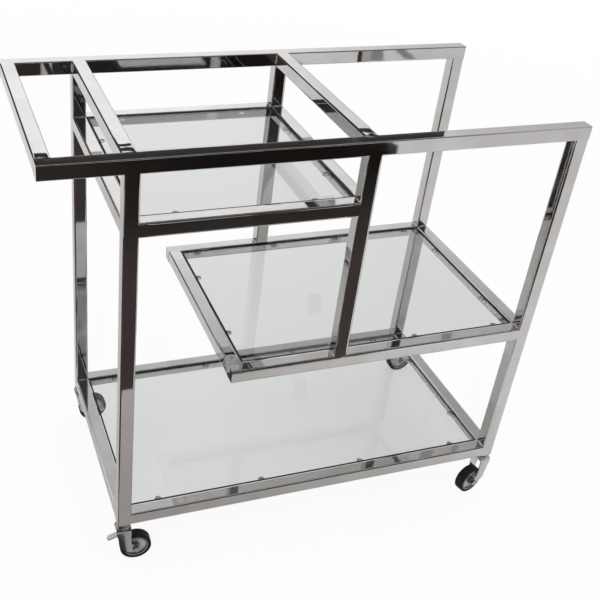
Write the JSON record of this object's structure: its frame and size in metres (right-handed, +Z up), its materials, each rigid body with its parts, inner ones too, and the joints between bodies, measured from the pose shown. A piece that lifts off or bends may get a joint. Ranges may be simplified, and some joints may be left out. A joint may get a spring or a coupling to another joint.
{
  "type": "serving cart",
  "caption": "Rolling serving cart of polished square tube with a push handle at one end, staggered glass shelves and swivel casters with foot brakes.",
  "frame": {"origin": "on the floor, in the middle of the cart's outline as seen from above, with the casters turned as at rest", "axes": "+X from the handle end to the other end, +Y from the front side to the rear side, +Z up"},
  "size_m": [0.9717, 0.4556, 0.843],
  "materials": {
    "chrome": "polished chrome plate",
    "shelf_glass": "clear float glass with ground edges",
    "clear_bumper": "clear soft plastic",
    "nylon": "moulded",
    "bearing_steel": "ground",
    "zinc": "bright zinc plate",
    "fork_steel": "stamped sheet, satin zinc plate",
    "hub_plastic": "moulded",
    "tyre_rubber": "satin"
  },
  "bodies": {
    "cart_frame": {"front_top_rail": "chrome", "front_left_post": "chrome", "front_middle_post": "chrome", "front_right_post": "chrome", "front_upper_shelf_rail": "chrome", "front_middle_shelf_rail": "chrome", "front_bottom_shelf_rail": "chrome", "rear_top_rail": "chrome", "rear_left_post": "chrome", "rear_middle_post": "chrome", "rear_right_post": "chrome", "rear_upper_shelf_rail": "chrome", "rear_middle_shelf_rail": "chrome", "rear_bottom_shelf_rail": "chrome", "handle_bar": "chrome", "top_crossbar_left": "chrome", "top_crossbar_middle": "chrome", "upper_shelf_cross_left": "chrome", "upper_shelf_cross_right": "chrome", "middle_shelf_cross_left": "chrome", "middle_shelf_cross_right": "chrome", "bottom_shelf_cross_left": "chrome", "bottom_shelf_cross_right": "chrome", "tube_end_caps": "chrome", "post_plugs": "nylon", "upper_shelf_glass": "shelf_glass", "middle_shelf_glass": "shelf_glass", "bottom_shelf_glass": "shelf_glass", "upper_shelf_tabs": "chrome", "middle_shelf_tabs": "chrome", "bottom_shelf_tabs": "chrome", "upper_shelf_bumpers": "clear_bumper", "middle_shelf_bumpers": "clear_bumper", "bottom_shelf_bumpers": "clear_bumper", "bearing_balls": "bearing_steel", "front_left_stem": "zinc", "front_right_stem": "zinc", "rear_left_stem": "zinc", "rear_right_stem": "zinc"},
    "front_left_swivel": {"front_left_fork": "fork_steel", "front_left_axle": "zinc", "front_left_brake_rivet": "zinc"},
    "front_left_wheel": {"front_left_hub": "hub_plastic", "front_left_tyre": "tyre_rubber"},
    "front_left_brake_lever": {"front_left_brake_pedal": "fork_steel"},
    "front_right_swivel": {"front_right_fork": "fork_steel", "front_right_axle": "zinc"},
    "front_right_wheel": {"front_right_hub": "hub_plastic", "front_right_tyre": "tyre_rubber"},
    "rear_left_swivel": {"rear_left_fork": "fork_steel", "rear_left_axle": "zinc"},
    "rear_left_wheel": {"rear_left_hub": "hub_plastic", "rear_left_tyre": "tyre_rubber"},
    "rear_right_swivel": {"rear_right_fork": "fork_steel", "rear_right_axle": "zinc", "rear_right_brake_rivet": "zinc"},
    "rear_right_wheel": {"rear_right_hub": "hub_plastic", "rear_right_tyre": "tyre_rubber"},
    "rear_right_brake_lever": {"rear_right_brake_pedal": "fork_steel"}
  },
  "joints": [
    {"name": "front_left_swivel_turn", "type": "hinge", "parent": "cart_frame", "child": "front_left_swivel", "pos_m": [-0.34841, -0.19968, 0.086], "axis": [0, 0, 1], "continuous": true},
    {"name": "front_left_wheel_spin", "type": "hinge", "parent": "front_left_swivel", "child": "front_left_wheel", "pos_m": [-0.32444, -0.20094, 0.03], "axis": [0.0523, 0.9986, 0], "continuous": true},
    {"name": "front_left_brake_press", "type": "hinge", "parent": "front_left_swivel", "child": "front_left_brake_lever", "pos_m": [-0.35041, -0.19958, 0.066], "axis": [-0.0523, -0.9986, 0], "range_deg": [0, 18]},
    {"name": "front_right_swivel_turn", "type": "hinge", "parent": "cart_frame", "child": "front_right_swivel", "pos_m": [0.43159, -0.19968, 0.086], "axis": [0, 0, 1], "continuous": true},
    {"name": "front_right_wheel_spin", "type": "hinge", "parent": "front_right_swivel", "child": "front_right_wheel", "pos_m": [0.40841, -0.20589, 0.03], "axis": [0.2588, -0.9659, 0], "continuous": true},
    {"name": "rear_left_swivel_turn", "type": "hinge", "parent": "cart_frame", "child": "rear_left_swivel", "pos_m": [-0.34841, 0.20932, 0.086], "axis": [0, 0, 1], "continuous": true},
    {"name": "rear_left_wheel_spin", "type": "hinge", "parent": "rear_left_swivel", "child": "rear_left_wheel", "pos_m": [-0.32441, 0.20974, 0.03], "axis": [-0.0175, 0.9998, 0], "continuous": true},
    {"name": "rear_right_swivel_turn", "type": "hinge", "parent": "cart_frame", "child": "rear_right_swivel", "pos_m": [0.43159, 0.20932, 0.086], "axis": [0, 0, 1], "continuous": true},
    {"name": "rear_right_wheel_spin", "type": "hinge", "parent": "rear_right_swivel", "child": "rear_right_wheel", "pos_m": [0.45558, 0.21016, 0.03], "axis": [-0.0349, 0.9994, 0], "continuous": true},
    {"name": "rear_right_brake_press", "type": "hinge", "parent": "rear_right_swivel", "child": "rear_right_brake_lever", "pos_m": [0.42959, 0.20925, 0.066], "axis": [0.0349, -0.9994, 0], "range_deg": [0, 18]}
  ]
}
